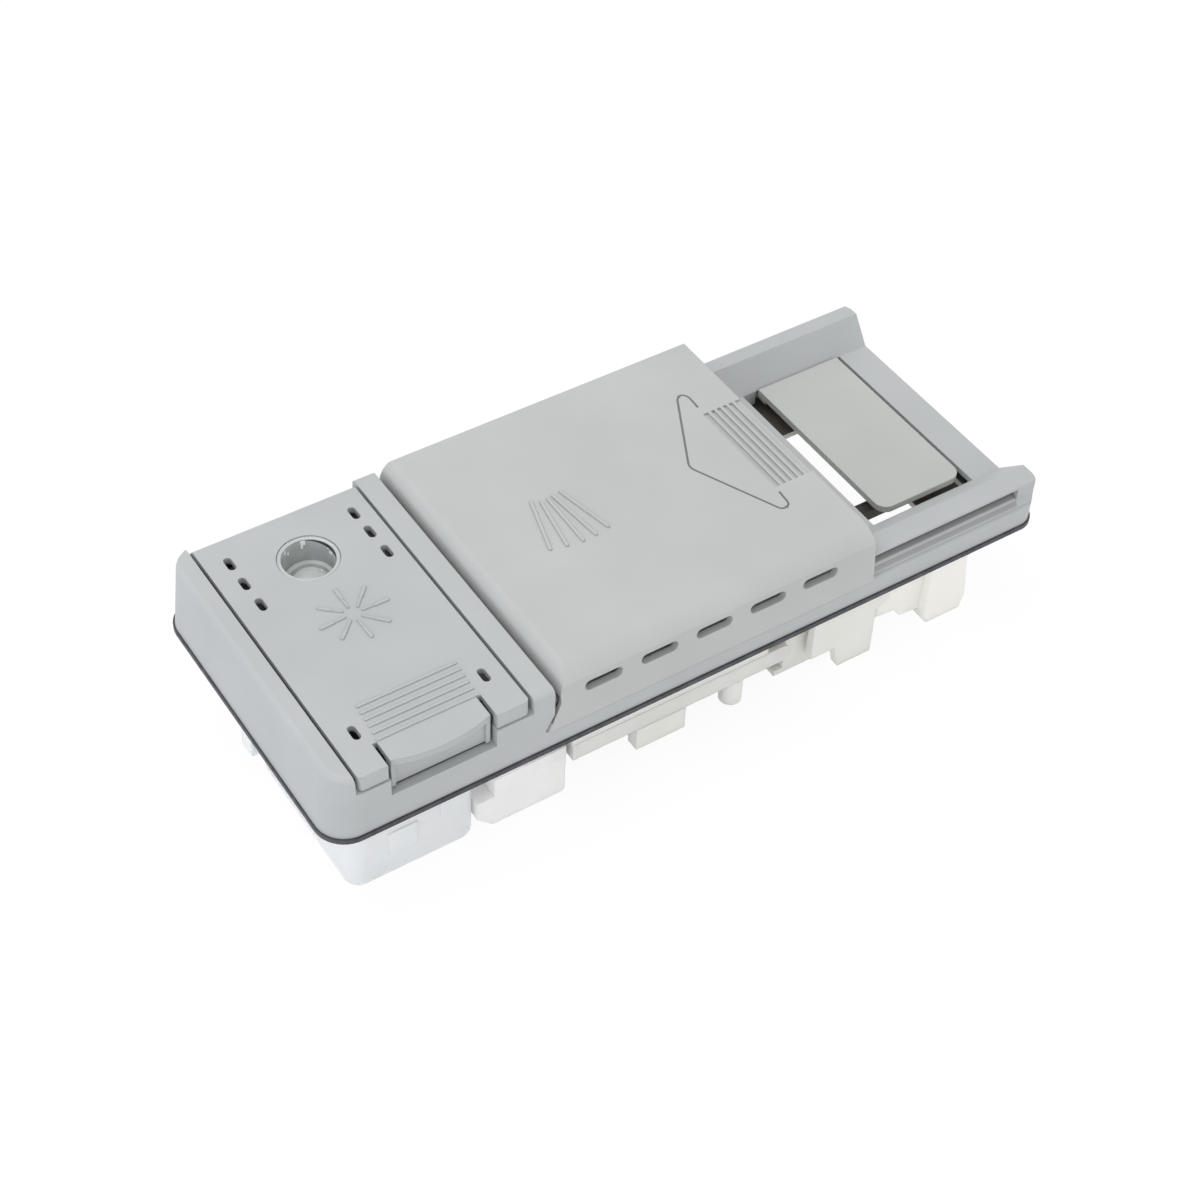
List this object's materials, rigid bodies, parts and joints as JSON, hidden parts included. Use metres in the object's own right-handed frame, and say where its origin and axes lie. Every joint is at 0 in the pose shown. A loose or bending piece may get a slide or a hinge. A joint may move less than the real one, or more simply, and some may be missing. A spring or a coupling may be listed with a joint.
{
  "type": "dishwasher detergent dispenser",
  "caption": "Door-mounted dishwasher dispenser with a sliding detergent lid, hinged rinse aid lid, release paddle and milky rear tank.",
  "frame": {"origin": "under the middle of the part, at the level of its lowest face, lying on its back", "axes": "+X along the length towards the paddle end, +Y across towards the hinge of the rinse aid lid, +Z out of the door"},
  "size_m": [0.2432, 0.102, 0.0588],
  "materials": {
    "grey_plastic": "fine matt grain",
    "lid_grey": "fine matt grain",
    "paddle_grey": "fine matt grain",
    "gasket_rubber": "smooth",
    "clear_window": "clear polished",
    "seal_rubber": "smooth",
    "steel": "bright drawn",
    "inner_plastic": "satin",
    "strainer_plastic": "satin",
    "blue_plastic": "satin",
    "tank_plastic": "milky, slightly see-through",
    "float_plastic": "foamed",
    "black_plastic": "satin",
    "spring_steel": "drawn wire",
    "dark_plastic": "satin",
    "coil_wrap": "wound enamelled wire",
    "iron": "turned",
    "milky_plastic": "milky, slightly see-through",
    "connector_plastic": "milky",
    "brass": "stamped"
  },
  "bodies": {
    "frame": {"front_bezel": "grey_plastic", "door_gasket": "gasket_rubber", "rinse_hinge_pin": "steel", "reservoir_cover": "inner_plastic", "filler_strainer": "strainer_plastic", "reservoir_tank": "tank_plastic", "reed_switch": "black_plastic", "lid_seal": "seal_rubber", "lid_spring": "spring_steel", "paddle_pin": "steel", "lever_pin": "steel", "solenoid_coil": "coil_wrap", "solenoid_yoke": "steel", "plunger_spring": "spring_steel", "valve_body": "milky_plastic", "valve_gland": "seal_rubber", "rear_housing": "milky_plastic", "connector_housing": "connector_plastic", "terminal_blades": "brass", "housing_screws": "steel"},
    "rinse_flap": {"rinse_lid": "lid_grey", "sight_glass": "clear_window", "rinse_lid_seal": "seal_rubber"},
    "slider": {"sliding_lid": "lid_grey"},
    "paddle": {"release_paddle": "paddle_grey"},
    "rocker": {"release_lever": "dark_plastic", "lid_latch": "blue_plastic"},
    "plunger": {"solenoid_plunger": "iron"},
    "rod": {"dosing_rod": "milky_plastic"},
    "dial": {"dosing_dial": "blue_plastic"},
    "float": {"level_float": "float_plastic"}
  },
  "joints": [
    {"name": "lid_slide", "type": "slide", "parent": "frame", "child": "slider", "axis": [1, 0, 0], "range_m": [0, 0.0635], "deforming": ["lid_spring"]},
    {"name": "rinse_lid_hinge", "type": "hinge", "parent": "frame", "child": "rinse_flap", "pos_m": [-0.08565, 0.0451, 0.0527], "axis": [-1, 0, 0], "range_deg": [0, 100]},
    {"name": "release_paddle_hinge", "type": "hinge", "parent": "frame", "child": "paddle", "pos_m": [0.0934, 0.0386, 0.0369], "axis": [1, 0, 0], "range_deg": [-3.3, 4.5], "stiffness_Nm_per_rad": 3},
    {"name": "lever_rock", "type": "hinge", "parent": "frame", "child": "rocker", "pos_m": [0.031, -0.029, 0.0324], "axis": [0, 1, 0], "range_deg": [-3.7, 5.05]},
    {"name": "plunger_slide", "type": "slide", "parent": "frame", "child": "plunger", "axis": [0, 0, 1], "range_m": [-0.00116, 0.00086], "deforming": ["plunger_spring"]},
    {"name": "rod_slide", "type": "slide", "parent": "frame", "child": "rod", "axis": [1, 0, 0], "range_m": [-0.0013, 0.00096]},
    {"name": "dial_turn", "type": "hinge", "parent": "frame", "child": "dial", "pos_m": [-0.085, -0.012, 0.042], "axis": [0, 0, 1], "range_deg": [0, 150]},
    {"name": "float_rise", "type": "slide", "parent": "frame", "child": "float", "axis": [0, 0, 1], "range_m": [0, 0.012]}
  ],
  "couplings": [
    {"joint": "lever_rock", "follows": "release_paddle_hinge", "ratio": 1.105},
    {"joint": "plunger_slide", "follows": "release_paddle_hinge", "m_per_rad": -0.014365},
    {"joint": "rod_slide", "follows": "release_paddle_hinge", "m_per_rad": -0.016133}
  ]
}
